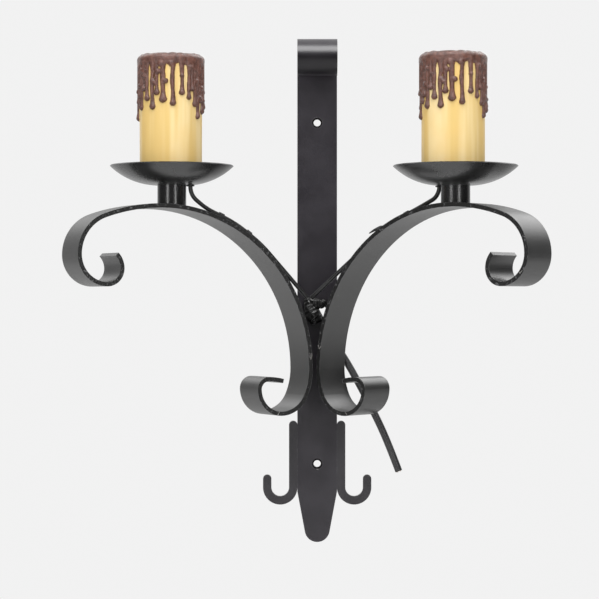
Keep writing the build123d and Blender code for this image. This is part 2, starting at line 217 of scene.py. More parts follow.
def mesh_object(name, mesh, material):
    """A smooth object in the scene from a mesh whose faces are turned outwards here."""
    work = bmesh.new()
    work.from_mesh(mesh)
    bmesh.ops.remove_doubles(work, verts=work.verts, dist=MERGE_DISTANCE)
    bmesh.ops.recalc_face_normals(work, faces=work.faces)
    work.to_mesh(mesh)
    work.free()
    mesh.materials.append(material)
    mesh.shade_smooth()
    made = bpy.data.objects.new(name, mesh)
    scene.collection.objects.link(made)
    return made


def mesh_piece(name, vertices, faces, material):
    """A new mesh object from lists of points and faces."""
    mesh = bpy.data.meshes.new(name)
    mesh.from_pydata([tuple(v) for v in vertices], [], [tuple(f) for f in faces])
    return mesh_object(name, mesh, material)


def circle(radius, sides, centre=(0.0, 0.0)):
    """Points round a circle, as pairs."""
    turns = [2 * math.pi * i / sides for i in range(sides)]
    return [(centre[0] + radius * math.cos(turn), centre[1] + radius * math.sin(turn)) for turn in turns]


FLOOR_DROP = 0.45  # below the lowest point of the sconce
FLOOR_RADIUS = 4.0
FLOOR_SIDES = 64
FLOOR_FADE = (0.9, 2.4)  # where the floor begins to turn into the room, and where it has
material, tree, output = material_tree("floor_white")
distance = vector_node(tree, "LENGTH", object_place(tree), out="Value")
paint = add_node(tree, "ShaderNodeBsdfDiffuse", {"Color": (0.82, 0.82, 0.82, 1.0)})
glow = add_node(tree, "ShaderNodeEmission", {"Color": (*ROOM_WHITE, 1.0), "Strength": 1.0})
fade = smooth_step(tree, distance, *FLOOR_FADE)
edge = add_node(tree, "ShaderNodeMixShader", {0: fade, 1: paint.outputs[0], 2: glow.outputs[0]})
tree.links.new(edge.outputs[0], output.inputs["Surface"])
floor_ring = [(x, y, cad_box[0].z - FLOOR_DROP) for x, y in circle(FLOOR_RADIUS, FLOOR_SIDES)]
floor = mesh_piece("floor", floor_ring, [range(FLOOR_SIDES)], material)

# ---- Supply cord --------------------------------------------------------------------------------
# A round black cord, 7 mm thick. It leaves the splice, passes out through the wire hole, and hangs
# behind the right arm to a bare cut end.
CORD_POINTS = [
    (-0.0036, -0.0101, -0.0121),
    (0.0049, 0.0066, -0.0285),
    (0.0172, 0.0054, -0.0488),
    (0.0316, 0.0026, -0.0706),
    (0.0556, -0.0039, -0.1162),
    (0.0683, -0.0046, -0.1440),
    (0.0785, -0.0049, -0.1710),
]
CORD_DIAMETER = 0.007


def effect_group(name, inputs, outputs):
    """An empty shader node group with named sockets, its input node and its output node."""
    group = bpy.data.node_groups.new(name, "ShaderNodeTree")
    for label, kind, value in inputs:
        socket = group.interface.new_socket(label, in_out="INPUT", socket_type="NodeSocket" + kind)
        socket.default_value = value
    for label, kind in outputs:
        group.interface.new_socket(label, in_out="OUTPUT", socket_type="NodeSocket" + kind)
    return group, group.nodes.new("NodeGroupInput").outputs, group.nodes.new("NodeGroupOutput").inputs


def noise(tree, vector, scale, detail=2.0, roughness=0.5):
    """A noise value over the surface."""
    inputs = {"Vector": vector, "Scale": scale, "Detail": detail, "Roughness": roughness}
    return add_node(tree, "ShaderNodeTexNoise", inputs).outputs["Fac"]


def stretched(tree, vector, scale):
    """Coordinates drawn out along the axes whose scale is small."""
    return add_node(tree, "ShaderNodeMapping", {"Vector": vector, "Scale": scale}).outputs["Vector"]


# grain: fine pits and broad unevenness of a coated or moulded surface, as a height and a tone.
grain, given, result = effect_group(
    "grain",
    [("Fine Scale", "Float", 900.0), ("Broad Scale", "Float", 45.0), ("Fine Share", "Float", 0.5),
     ("Stretch", "Vector", (1.0, 1.0, 1.0))],
    [("Height", "Float"), ("Tone", "Float")],
)
place = vector_node(grain, "MULTIPLY", object_place(grain), given["Stretch"])
fine = noise(grain, place, given["Fine Scale"], 3.0, 0.6)
broad = noise(grain, place, given["Broad Scale"], 4.0, 0.55)
grain.links.new(mix_value(grain, given["Fine Share"], broad, fine), result["Height"])
grain.links.new(smooth_step(grain, broad, 0.32, 0.68), result["Tone"])

# edge_wear: where a coating is thin and rubbed along sharp edges, broken up by noise.
edge_wear, given, result = effect_group(
    "edge_wear",
    [("Width", "Float", 0.0006), ("Amount", "Float", 0.6), ("Patch Scale", "Float", 120.0)],
    [("Mask", "Float")],
)
bent = add_node(edge_wear, "ShaderNodeBevel", {"Radius": given["Width"]}, samples=4).outputs["Normal"]
agree = vector_node(edge_wear, "DOT_PRODUCT", bent, surface_normal(edge_wear), "Value")
sharp = smooth_step(edge_wear, math_node(edge_wear, "SUBTRACT", 1.0, agree), 0.015, 0.16)
patches = noise(edge_wear, object_place(edge_wear), given["Patch Scale"], 4.0, 0.65)
worn = product(edge_wear, sharp, smooth_step(edge_wear, patches, 0.40, 0.66))
worn = product(edge_wear, worn, given["Amount"], True)
edge_wear.links.new(worn, result["Mask"])

# dust: a thin pale film on what faces up, thicker in patches.
dust, given, result = effect_group(
    "dust", [("Amount", "Float", 0.15), ("Patch Scale", "Float", 60.0)], [("Mask", "Float")])
up = add_node(dust, "ShaderNodeSeparateXYZ", {0: surface_normal(dust)}).outputs["Z"]
film = noise(dust, object_place(dust), given["Patch Scale"], 5.0, 0.7)
settled = product(dust, smooth_step(dust, up, 0.35, 1.0), smooth_step(dust, film, 0.35, 0.75))
dust.links.new(product(dust, settled, given["Amount"], True), result["Mask"])


def place_group(tree, group, **values):
    """Put a shared effect into a material with this material's own values."""
    node = tree.nodes.new("ShaderNodeGroup")
    node.node_tree = group
    for key, value in values.items():
        node.inputs[key.replace("_", " ").title()].default_value = value
    return node.outputs


def principled(tree, output, colour, roughness, normal=None, **constants):
    """The surface shader, with its colour and roughness from nodes and its constants on its sockets."""
    inputs = {"Base Color": colour, "Roughness": roughness}
    if normal is not None:
        inputs["Normal"] = normal
    inputs.update({key.replace("_", " "): value for key, value in constants.items()})
    shader = add_node(tree, "ShaderNodeBsdfPrincipled", inputs)
    tree.links.new(shader.outputs[0], output.inputs["Surface"])


def bump(tree, height, distance):
    """A bump normal whose distance is in metres."""
    return add_node(tree, "ShaderNodeBump", {"Height": height, "Distance": distance}).outputs[0]


DUST_COLOUR = (0.42, 0.41, 0.39)


def plastic(name, dark, light, roughness, fine_scale=1400.0, depth=0.00006, dusty=0.08,
            stretch=(1.0, 1.0, 1.0)):
    """A moulded or extruded plastic: two close tones, a faint skin texture and a little dust."""
    material, tree, output = material_tree(name)
    skin = place_group(tree, grain, fine_scale=fine_scale, broad_scale=90.0, fine_share=0.6, stretch=stretch)
    film = place_group(tree, dust, amount=dusty, patch_scale=110.0)["Mask"]
    colour = mix_colour(tree, film, mix_colour(tree, skin["Tone"], dark, light), DUST_COLOUR)
    rough = smooth_step(tree, skin["Tone"], 0.0, 1.0, roughness - 0.04, roughness + 0.06)
    principled(tree, output, colour, rough, bump(tree, skin["Height"], depth))
    return material


cord_black = plastic("cord_black", (0.020, 0.020, 0.021), (0.034, 0.034, 0.035), 0.42, 500.0, 0.0001,
                     stretch=(1.0, 1.0, 0.12))

cord_line = bpy.data.curves.new("supply_cord_run", "CURVE")
cord_line.dimensions = "3D"
cord_spline = cord_line.splines.new("NURBS")
cord_spline.points.add(len(CORD_POINTS) - 1)
for point, where in zip(cord_spline.points, CORD_POINTS):
    point.co = (*where, 1.0)
cord_spline.order_u = 3
cord_spline.use_endpoint_u = True
cord_spline.resolution_u = 10
cord_line.bevel_depth = CORD_DIAMETER / 2
cord_line.bevel_resolution = 6
cord_line.use_fill_caps = True
cord_line.materials.append(cord_black)
supply_cord = bpy.data.objects.new("supply_cord_run", cord_line)
scene.collection.objects.link(supply_cord)

# The cut end: cream filler inside the jacket, and two cores whose copper strands are flush.
CORE_RADIUS = 0.00125
CORE_SPREAD = 0.00145
COPPER_RADIUS = 0.0007
STRAND_RADIUS = 0.00013
FILLER_RADIUS = 0.0029
FILLER_PROUD = 0.00025
CORE_PROUD = 0.00055
STRAND_PROUD = 0.0008
STRAND_LENGTH = 0.002
STRAND_RINGS = 3  # one strand in the middle and two rings round it
END_DEPTH = 0.002  # how far the filler and the cores reach back into the jacket
filler_cream = plastic("cord_filler", (0.55, 0.52, 0.44), (0.72, 0.69, 0.60), 0.7, dusty=0.0)
core_white = plastic("core_white", (0.62, 0.62, 0.60), (0.72, 0.72, 0.70), 0.45, dusty=0.0)
core_black = plastic("core_black", (0.02, 0.02, 0.02), (0.03, 0.03, 0.03), 0.45, dusty=0.0)


def metal(name, dark, light, roughness, brushed=(1.0, 1.0, 1.0), depth=0.00003, dusty=0.05):
    """Bare metal with fine tool marks and a little tarnish."""
    material, tree, output = material_tree(name)
    marks = place_group(tree, grain, fine_scale=2200.0, broad_scale=160.0, fine_share=0.7, stretch=brushed)
    film = place_group(tree, dust, amount=dusty, patch_scale=140.0)["Mask"]
    colour = mix_colour(tree, film, mix_colour(tree, marks["Tone"], dark, light), DUST_COLOUR)
    rough = smooth_step(tree, marks["Tone"], 0.0, 1.0, roughness + 0.1, roughness - 0.04)
    principled(tree, output, colour, rough, bump(tree, marks["Height"], depth), Metallic=1.0)
    return material


copper = metal("copper", (0.62, 0.28, 0.17), (0.86, 0.46, 0.32), 0.28)

end_axis = (Vector(CORD_POINTS[-1]) - Vector(CORD_POINTS[-2])).normalized()
end_frame = Matrix.Translation(CORD_POINTS[-1]) @ end_axis.to_track_quat("Z", "Y").to_matrix().to_4x4()


def quads_between(first, second, count):
    """Quads that join two rings of count points, given by the index that each ring starts at."""
    pairs = [(i, (i + 1) % count) for i in range(count)]
    return [(first + i, first + j, second + j, second + i) for i, j in pairs]


def closed_tube(rows, sides):
    """Faces of a tube of so many rings of points, closed at both ends."""
    faces = [range(sides), range((rows - 1) * sides, rows * sides)]
    for row in range(rows - 1):
        faces += quads_between(row * sides, (row + 1) * sides, sides)
    return faces


def short_rod(radius, low, high, centre, sides=28, chamfer=0.12):
    """Points and faces of a short rod with a small chamfer on its free end."""
    rings = ((radius, low), (radius, high - radius * chamfer), (radius * (1 - chamfer), high))
    vertices = [(x, y, height) for reach, height in rings for x, y in circle(reach, sides, centre)]
    return vertices, closed_tube(len(rings), sides)


def place_mesh(made, matrix):
    """Put a piece in its place by moving its mesh."""
    made.data.transform(matrix)
    return made


filler_rod = short_rod(FILLER_RADIUS, -END_DEPTH, FILLER_PROUD, (0, 0))
cord_end_pieces = [place_mesh(mesh_piece("cord_filler", *filler_rod, filler_cream), end_frame)]
for label, offset, core in (("white", CORE_SPREAD, core_white), ("black", -CORE_SPREAD, core_black)):
    rod = short_rod(CORE_RADIUS, -END_DEPTH, CORE_PROUD, (0, offset))
    cord_end_pieces.append(place_mesh(mesh_piece(f"cord_core_{label}", *rod, core), end_frame))


def geometry_tree(name, inputs):
    """A geometry node tree with named size inputs and a geometry in and out."""
    made = bpy.data.node_groups.new(name, "GeometryNodeTree")
    made.interface.new_socket("Geometry", in_out="INPUT", socket_type="NodeSocketGeometry")
    for label, kind, value in inputs:
        socket = made.interface.new_socket(label, in_out="INPUT", socket_type="NodeSocket" + kind)
        if value is not None:
            socket.default_value = value
    made.interface.new_socket("Geometry", in_out="OUTPUT", socket_type="NodeSocketGeometry")
    return made, made.nodes.new("NodeGroupInput").outputs, made.nodes.new("NodeGroupOutput").inputs[0]


def grow(name, base, tree, values):
    """Run a geometry tree on a base mesh and keep the result as a plain mesh object."""
    carrier = bpy.data.objects.new(name + "_base", base)
    scene.collection.objects.link(carrier)
    modifier = carrier.modifiers.new("grow", "NODES")
    modifier.node_group = tree
    for item in tree.interface.items_tree:
        if item.in_out == "INPUT" and item.name in values:
            modifier[item.identifier] = values[item.name]
    evaluated = carrier.evaluated_get(bpy.context.evaluated_depsgraph_get())
    mesh = bpy.data.meshes.new_from_object(evaluated)
    bpy.data.objects.remove(carrier)
    mesh.name = name
    made = bpy.data.objects.new(name, mesh)
    scene.collection.objects.link(made)
    return made


def finish_tree(tree, geometry, material_socket, out):
    """Realise the instances, shade them smooth and give them their material."""
    real = add_node(tree, "GeometryNodeRealizeInstances", {0: geometry})
    smooth = add_node(tree, "GeometryNodeSetShadeSmooth", {0: real.outputs[0]})
    dressed = add_node(tree, "GeometryNodeSetMaterial", {0: smooth.outputs[0], "Material": material_socket})
    tree.links.new(dressed.outputs[0], out)


# strands: one short wire on every point of the base mesh.
strands, given, out = geometry_tree("strands", [
    ("Strand Radius", "Float", 0.0001), ("Strand Length", "Float", 0.001), ("Material", "Material", None)])
wire = add_node(strands, "GeometryNodeMeshCylinder", {"Vertices": 8, "Radius": given["Strand Radius"],
                                                      "Depth": given["Strand Length"]})
on_points = add_node(strands, "GeometryNodeInstanceOnPoints", {"Points": given["Geometry"],
                                                               "Instance": wire.outputs[0]})
finish_tree(strands, on_points.outputs[0], given["Material"], out)

strand_points = []
for offset in (CORE_SPREAD, -CORE_SPREAD):
    for ring in range(STRAND_RINGS):
        spots = circle(COPPER_RADIUS * ring / 2.4, max(1, 6 * ring), (0, offset))
        strand_points += [(x, y, STRAND_PROUD - STRAND_LENGTH / 2) for x, y in spots]
strand_base = bpy.data.meshes.new("strand_points")
strand_base.from_pydata(strand_points, [], [])
strand_piece = grow("cord_strands", strand_base, strands, {
    "Strand Radius": STRAND_RADIUS, "Strand Length": STRAND_LENGTH, "Material": copper})
cord_end_pieces.append(place_mesh(strand_piece, end_frame))

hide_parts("supply_cord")
for piece in (supply_cord, *cord_end_pieces):
    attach(piece, "frame")

# ---- Strap and J hooks --------------------------------------------------------------------------
# Hot-rolled flat bar, its top rolled to an eye and its foot forged to a tongue. The J hooks are cut
# from thinner bar and welded edge to edge beside it. All are sprayed satin black.

CHIP_SHARP = 40.0  # how sharply a chip in the coat begins

# nicks: sparse small chips where the coat has been knocked off.
nicks, given, result = effect_group(
    "nicks", [("Scale", "Float", 160.0), ("Rarity", "Float", 0.74)], [("Mask", "Float")])
spot = noise(nicks, object_place(nicks), given["Scale"], 5.0, 0.62)
over = math_node(nicks, "SUBTRACT", spot, given["Rarity"])
nicks.links.new(product(nicks, over, CHIP_SHARP, True), result["Mask"])

BARE_IRON = (0.20, 0.20, 0.205)
CUT_IRON = (0.006, 0.006, 0.006)
# The colour of painted shade, on faces turned away from the light.
SHADE_IRON = (0.004, 0.004, 0.004)
HOLE_RING_IRON = (0.002, 0.002, 0.002)
PAINT_SHINE = 0.9
SHINE_LOST = 0.55  # on a sheared edge, and on the painted shade
CUT_COVER = 0.8  # how far a sheared edge takes its own colour
TORN_DEPTH = 6.0  # how deeply it is torn, against the coat's own grain
BURR_BRIGHT = 0.35  # how much bare iron shows at its burrs
RING_DEPTH = 0.8  # tool rings of a spun dish, against the grain
POOL_DEPTH = 1.5  # how far the coat stands up round a hole, against the grain
POOL_ROUGH = 0.5  # and how much rougher it is there
SHADE_COVER = 0.6  # how far the painted shade takes its dark colour
SCREW_HOLES = ((0.0, 0.0, 0.164), (0.0, 0.0, -0.164))
EYE_FROM = 0.2095  # height above which the strap is rolled
HOLE_RING_REACH = (0.0042, 0.0056)  # how far out from a hole's centre its dark ring is full, and gone


def black_iron(name, dark, light, roughness, wear=0.5, rarity=0.74, depth=0.00012, cut_way=None,
               turned_about=None, stretch=(1.0, 1.0, 1.0), holes=(), shade_way=None,
               shade_span=(0.0, 0.3), shade_above=-1.0):
    """Sprayed iron: uneven satin black, thin on its edges, chipped here and there, a little dusty.

    cut_way is the direction that a sheared edge faces, and turned_about is a spun dish's axis. Round each of
    the holes, which are given by their centres, the finish is darker, rougher, less shiny and raised in a
    ring.
    The last three arguments lay painted shade, darker and less shiny, on what faces a given way, from the
    first level of the span to the second, if it lies above the given height.
    """
    material, tree, output = material_tree(name)
    coat = place_group(tree, grain, fine_scale=1100.0, broad_scale=28.0, fine_share=0.55, stretch=stretch)
    rubbed = place_group(tree, edge_wear, width=0.0007, amount=wear, patch_scale=150.0)["Mask"]
    chipped = place_group(tree, nicks, scale=210.0, rarity=rarity)["Mask"]
    film = place_group(tree, dust, amount=0.045, patch_scale=70.0)["Mask"]
    bare = math_node(tree, "MAXIMUM", rubbed, chipped)
    colour = mix_colour(tree, coat["Tone"], dark, light)
    rough = smooth_step(tree, coat["Tone"], 0.0, 1.0, roughness - 0.012, roughness + 0.018)
    height = coat["Height"]
    shine = PAINT_SHINE
    if cut_way is not None:
        facing = vector_node(tree, "DOT_PRODUCT", surface_normal(tree), cut_way, "Value")
        cut = smooth_step(tree, math_node(tree, "ABSOLUTE", facing), 0.90, 0.985)
        torn = place_group(tree, grain, fine_scale=1500.0, broad_scale=330.0, fine_share=0.3)
        height = math_node(tree, "ADD", height, product(tree, product(tree, torn["Height"], cut), TORN_DEPTH))
        colour = mix_colour(tree, product(tree, cut, CUT_COVER), colour, CUT_IRON)
        shine = math_node(tree, "SUBTRACT", shine, product(tree, cut, SHINE_LOST))
        burr = product(tree, smooth_step(tree, torn["Tone"], 0.86, 1.0), cut)
        bare = math_node(tree, "MAXIMUM", bare, product(tree, burr, BURR_BRIGHT))
    if turned_about is not None:
        from_axis = vector_node(tree, "SUBTRACT", object_place(tree), turned_about)
        level_way = vector_node(tree, "MULTIPLY", from_axis, (1.0, 1.0, 0.0))
        reach = vector_node(tree, "LENGTH", level_way, out="Value")
        ring_line = add_node(tree, "ShaderNodeCombineXYZ", {"X": reach}).outputs[0]
        rings = noise(tree, ring_line, 900.0, 2.0, 0.6)
        height = math_node(tree, "ADD", height, product(tree, rings, RING_DEPTH))
    # Round each hole the finish is darker, rougher, less shiny and raised in a ring.
    for centre in holes:
        on_face = vector_node(tree, "MULTIPLY", object_place(tree), (1.0, 0.0, 1.0))
        reach = vector_node(tree, "DISTANCE", on_face, centre, "Value")
        ringed = smooth_step(tree, reach, *HOLE_RING_REACH, 1.0, 0.0)
        colour = mix_colour(tree, ringed, colour, HOLE_RING_IRON)
        rough = math_node(tree, "ADD", rough, product(tree, ringed, POOL_ROUGH), True)
        height = math_node(tree, "ADD", height, product(tree, ringed, POOL_DEPTH))
        shine = math_node(tree, "SUBTRACT", shine, product(tree, ringed, PAINT_SHINE), True)
    # Painted shade: faces turned the given way take a darker colour and lose shine, standing in for the shade
    # on them.
    if shade_way is not None:
        rise = add_node(tree, "ShaderNodeSeparateXYZ", {0: object_place(tree)}).outputs["Z"]
        facing = vector_node(tree, "DOT_PRODUCT", surface_normal(tree), shade_way, "Value")
        above = smooth_step(tree, rise, shade_above - 0.001, shade_above)
        painted_shade = product(tree, smooth_step(tree, facing, *shade_span), above)
        colour = mix_colour(tree, product(tree, painted_shade, SHADE_COVER), colour, SHADE_IRON)
        shine = math_node(tree, "SUBTRACT", shine, product(tree, painted_shade, SHINE_LOST), True)
    colour = mix_colour(tree, bare, colour, BARE_IRON)
    colour = mix_colour(tree, film, colour, DUST_COLOUR)
    principled(tree, output, colour, rough, bump(tree, height, depth), Specular_IOR_Level=shine)
    return material


def dress(names, material):
    """Give CAD nodes their finish."""
    for name in names:
        nodes[name].data.materials.clear()
        nodes[name].data.materials.append(material)


# The rolled eye's lower half is painted shade: darker and less shiny where it faces down.
strap_black = black_iron("strap_black", (0.0120, 0.0098, 0.0138), (0.0182, 0.0154, 0.0206), 0.29, wear=0.35,
                         rarity=0.76, holes=SCREW_HOLES, shade_way=(0.0, 0.0, -1.0), shade_span=(-0.32, 0.10),
                         shade_above=EYE_FROM)
dress(["strap"], strap_black)
hook_black = black_iron("hook_black", (0.0120, 0.0102, 0.0132), (0.0175, 0.0152, 0.0190), 0.33, wear=0.35,
                        rarity=0.76)
dress(["left_hook", "right_hook"], hook_black)

# ---- Scroll arms --------------------------------------------------------------------------------
# Two flat bars bent on the same pattern. Their narrow edges are sheared, so they are rougher and
# darker than the rolled faces, with bright burrs where the coat is thin.
ARM_SWING = {"left": 28.0, "right": 39.5}  # degrees out from the wall
# The left arm's tones are lighter and the right arm's darker: painted light and painted shade on the one
# black coat.
ARM_LIT_AND_SHADED_TONES = {"left": ((0.0130, 0.0130, 0.0126), (0.0205, 0.0205, 0.0195)),
             "right": ((0.0100, 0.0100, 0.0100), (0.0155, 0.0155, 0.0150))}
for side, sign in zip(SIDES, (-1, 1)):
    swing = math.radians(ARM_SWING[side])
    across = Vector((-sign * math.sin(swing), -math.cos(swing), 0.0))
    finish = black_iron(f"{side}_arm_black", *ARM_LIT_AND_SHADED_TONES[side], 0.37, wear=0.75, rarity=0.73, cut_way=across)
    dress([f"{side}_scroll_arm"], finish)

# ---- Weld runs ----------------------------------------------------------------------------------
# Short hand-laid beads, each a row of overlapping frozen puddles painted with the iron. Round them and
# under a screw hole small marks show bright steel; those on the curls and the right shoulder are painted
# highlights.

# weld_ripples: uneven puddles laid close together along each line of the base mesh.
ripples, given, out = geometry_tree("weld_ripples", [
    ("Bead Radius", "Float", 0.0016), ("Ripple Pitch", "Float", 0.0009), ("Seed", "Int", 3),
    ("Material", "Material", None)])
run = add_node(ripples, "GeometryNodeMeshToCurve", {"Mesh": given["Geometry"]})
steps = add_node(ripples, "GeometryNodeResampleCurve", {
    "Curve": run.outputs[0], "Length": given["Ripple Pitch"]}, mode="LENGTH")
puddle = add_node(ripples, "GeometryNodeMeshIcoSphere", {"Radius": given["Bead Radius"], "Subdivisions": 3})
uneven = add_node(ripples, "FunctionNodeRandomValue", {
    "Min": (0.84, 0.84, 0.55), "Max": (1.06, 1.04, 0.8), "Seed": given["Seed"]}, data_type="FLOAT_VECTOR")
laid = add_node(ripples, "GeometryNodeInstanceOnPoints", {
    "Points": steps.outputs[0], "Instance": puddle.outputs[0], "Scale": uneven.outputs[0]})
finish_tree(ripples, laid.outputs[0], given["Material"], out)

weld_black = black_iron("weld_black", (0.009, 0.0088, 0.0088), (0.016, 0.0155, 0.015), 0.45, wear=0.0,
                        rarity=0.72)
WELD_SHARE = 0.96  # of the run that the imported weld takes
BEADS = {"arm_welds": (0.00158, 3), "hook_welds": (0.00118, 7)}  # bead radius, seed
BEAD_PITCH = 0.55  # from one puddle to the next, as a share of the bead's radius
for label, (bead_radius, seed) in BEADS.items():
    low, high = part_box(label)
    trim = (high.z - low.z) * (1 - WELD_SHARE) / 2 + bead_radius
    points = []
    for x in (low.x + bead_radius, high.x - bead_radius):
        y = (low.y + high.y) / 2
        points += [(x, y, high.z - trim), (x, y, low.z + trim)]
    base = bpy.data.meshes.new(label + "_runs")
    base.from_pydata(points, [(0, 1), (2, 3)], [])
    beads = grow(label + "_beads", base, ripples, {
        "Bead Radius": bead_radius, "Ripple Pitch": bead_radius * BEAD_PITCH, "Seed": seed,
        "Material": weld_black})
    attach(beads, "frame")
    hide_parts(label)

raw_steel = metal("raw_steel", (0.22, 0.21, 0.20), (0.38, 0.37, 0.36), 0.42)

# A bright steel mark lies at each weld's front end and under a screw hole. Those on each lower curl and on
# the right shoulder are painted highlights, laid where the edges catch the light.
NICK_RADIUS = 0.00032
NICK_SIDES = 8
NICK_STEPS = 30
BRIGHT_MARK_PATHS = {
    "left_weld_bright_mark": [(-0.0075, -0.0362, -0.0562), (-0.0061, -0.0355, -0.0636), (-0.0050, -0.0349, -0.0572)],
    "right_weld_bright_mark": [(0.0009, -0.0328, -0.0492), (0.0017, -0.0333, -0.0533), (0.0034, -0.0346, -0.0500)],
    "foot_nick": [(-0.0010, -0.0064, -0.1690), (0.0002, -0.0064, -0.1693), (0.0014, -0.0064, -0.1690)],
    "left_curl_painted_glint": [(-0.0376, -0.0521, -0.1149), (-0.0366, -0.0516, -0.1130), (-0.0357, -0.0511, -0.1114)],
    "right_curl_painted_glint": [(0.0259, -0.0531, -0.1119), (0.0267, -0.0537, -0.1130), (0.0274, -0.0543, -0.1144)],
    "right_shoulder_painted_glint": [(0.1762, -0.1772, 0.0186), (0.1769, -0.1776, 0.0168), (0.1789, -0.1792, 0.0196)],
}
RUN_SMOOTHING = 6  # passes that round off the bends of a run's path
RUN_CLOSING = 0.07  # share of a run's length over which each end closes


def lumpy_run(path, radii, squash=1.0, sides=28, steps=60, ridges=0.0, seed=5):
    """Points and faces of a closed, hand-wrapped run along a bent path, with a radius at each point of it.

    squash flattens it towards the wall, and ridges is how far the turns of tape stand up.
    """
    knots = np.linspace(0, 1, len(path))
    along = np.linspace(0, 1, steps)
    line = np.stack([np.interp(along, knots, np.array(path)[:, k]) for k in range(3)], axis=1)
    for _ in range(RUN_SMOOTHING):
        line[1:-1] = (line[:-2] + 2 * line[1:-1] + line[2:]) / 4
    radius = np.interp(along, knots, radii)
    closing = np.sqrt(np.clip(np.minimum(along, 1 - along) / RUN_CLOSING, 0, 1))
    wander = np.random.default_rng(seed).uniform(0, 6.28, 3)
    vertices = []
    for i in range(steps):
        ahead = Vector(line[min(i + 1, steps - 1)] - line[max(i - 1, 0)]).normalized()
        across = ahead.cross(Vector((0.0, 1.0, 0.0))).normalized()
        out_way = across.cross(ahead)
        for j in range(sides):
            turn = 2 * math.pi * j / sides
            wave = ridges * math.sin(along[i] * 46 + turn)
            wave += 0.05 * math.sin(3 * turn + wander[0] + 9 * along[i])
            wave += 0.04 * math.sin(5 * turn + wander[1] - 14 * along[i])
            reach = float(radius[i] * max(closing[i], 0.03) * (1 + wave))
            outward = math.cos(turn) * across + squash * math.sin(turn) * out_way
            vertices.append(Vector(line[i]) + reach * outward)
    return vertices, closed_tube(steps, sides)


for name, path in BRIGHT_MARK_PATHS.items():
    bright_mark_run = lumpy_run(path, (NICK_RADIUS,) * len(path), sides=NICK_SIDES, steps=NICK_STEPS)
    nick = mesh_piece(name, *bright_mark_run, raw_steel)
    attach(nick, "frame")

# ---- Necks and drip pans ------------------------------------------------------------------------
# Each neck is a length of pipe, coped to the arm. Each pan is spun from thin sheet and clamped on
# the neck by the nut inside it.
neck_black = black_iron("neck_black", (0.0095, 0.0092, 0.0095), (0.0145, 0.0140, 0.0145), 0.23, wear=0.3,
                        rarity=0.78, stretch=(1.0, 1.0, 0.15))
zinc = metal("zinc_plate", (0.42, 0.43, 0.44), (0.62, 0.63, 0.64), 0.34)
dress([f"{side}_neck_tube" for side in SIDES], neck_black)
for side in SIDES:
    low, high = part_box(f"{side}_drip_pan")
    centre = (low + high) / 2
    # Each pan is painted shade, darker and less shiny, except where it faces down and to the left, its lit
    # side.
    pan_black = black_iron(f"{side}_pan_black", (0.0080, 0.0080, 0.0080), (0.0120, 0.0120, 0.0120), 0.28,
                           wear=0.4, rarity=0.78, depth=0.00007, turned_about=tuple(centre),
                           shade_way=(0.8, 0.0, 0.6), shade_span=(-0.30, -0.12))
    dress([f"{side}_drip_pan"], pan_black)
    dress([f"{side}_neck_plug"], raw_steel)
    dress([f"{side}_threaded_nipple", f"{side}_pan_nut", f"{side}_socket_bracket"], zinc)

# ---- Lamp sockets -------------------------------------------------------------------------------
# A moulded socket body stands on a folded bracket. Its screw shell is rolled from thin brass with a
# rounded thread, open at the top, and a sprung brass contact lies at the bottom.
brass = metal("brass_shell", (0.60, 0.43, 0.18), (0.80, 0.62, 0.30), 0.26)
phenolic = plastic("socket_phenolic", (0.030, 0.022, 0.018), (0.046, 0.036, 0.030), 0.38)
SHELL_SIDES = 64
THREAD_PITCH = 0.0036
THREAD_DEPTH = 0.0006
SHELL_STEPS_PER_TURN = 12
SHELL_WALL = 0.0004
SHELL_ROOM = 0.0001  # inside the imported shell's faces
for side in SIDES:
    dress([f"{side}_socket_body"], phenolic)
    dress([f"{side}_centre_contact"], brass)
    low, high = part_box(f"{side}_screw_shell")
    centre = (low + high) / 2
    outer = (high.x - low.x) / 2 - SHELL_ROOM
    rows = round((high.z - low.z) / THREAD_PITCH * SHELL_STEPS_PER_TURN)
    vertices = []
    for wall in (0.0, SHELL_WALL):
        for row in range(rows + 1):
            height = low.z + (high.z - low.z) * row / rows
            for i in range(SHELL_SIDES):
                turn = 2 * math.pi * i / SHELL_SIDES
                wave = 0.5 + 0.5 * math.cos(2 * math.pi * (height - low.z) / THREAD_PITCH - turn)
                radius = outer - wall - THREAD_DEPTH * wave
                x = centre.x + radius * math.cos(turn)
                vertices.append((x, centre.y + radius * math.sin(turn), height))
    faces = []
    inside = (rows + 1) * SHELL_SIDES
    for wall in (0, inside):
        for row in range(rows):
            first = wall + row * SHELL_SIDES
            faces += quads_between(first, first + SHELL_SIDES, SHELL_SIDES)
    for end in (0, rows * SHELL_SIDES):
        faces += quads_between(end, inside + end, SHELL_SIDES)
    shell = mesh_piece(f"{side}_thread_shell", vertices, faces, brass)
    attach(shell, "frame")
    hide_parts(f"{side}_screw_shell")

# ---- Candle covers ------------------------------------------------------------------------------
# Cast resin tubes, both from one mould. The top is dipped in a thick brown coat that has run down
# in drips of uneven length, each a narrow rib with a round bead at its end.
COAT_EDGE = 0.0092  # how far down the coat reaches between the drips
COAT_FADE = 0.0028  # over which the coat thins to nothing there
COAT_THICK = 0.0019
COAT_ON_TOP = 0.55  # share of its thickness that the coat keeps on the top
DRIP_THICK = 0.0026
DRIP_NECK = 0.86  # width of a drip above its bead, as a share of what is listed
BEAD_SWELL = 1.28  # width of the bead at its end, as such a share
BEAD_THICK = 0.0031  # of a caught bead
LUMP_SPREAD = 0.0022  # how wide a lump on the rim is
RIM_RIPPLE = 0.00022  # unevenness of the coat on the top
HEAP_POWER = 5  # how closely the coat keeps to the thickest of what overlaps
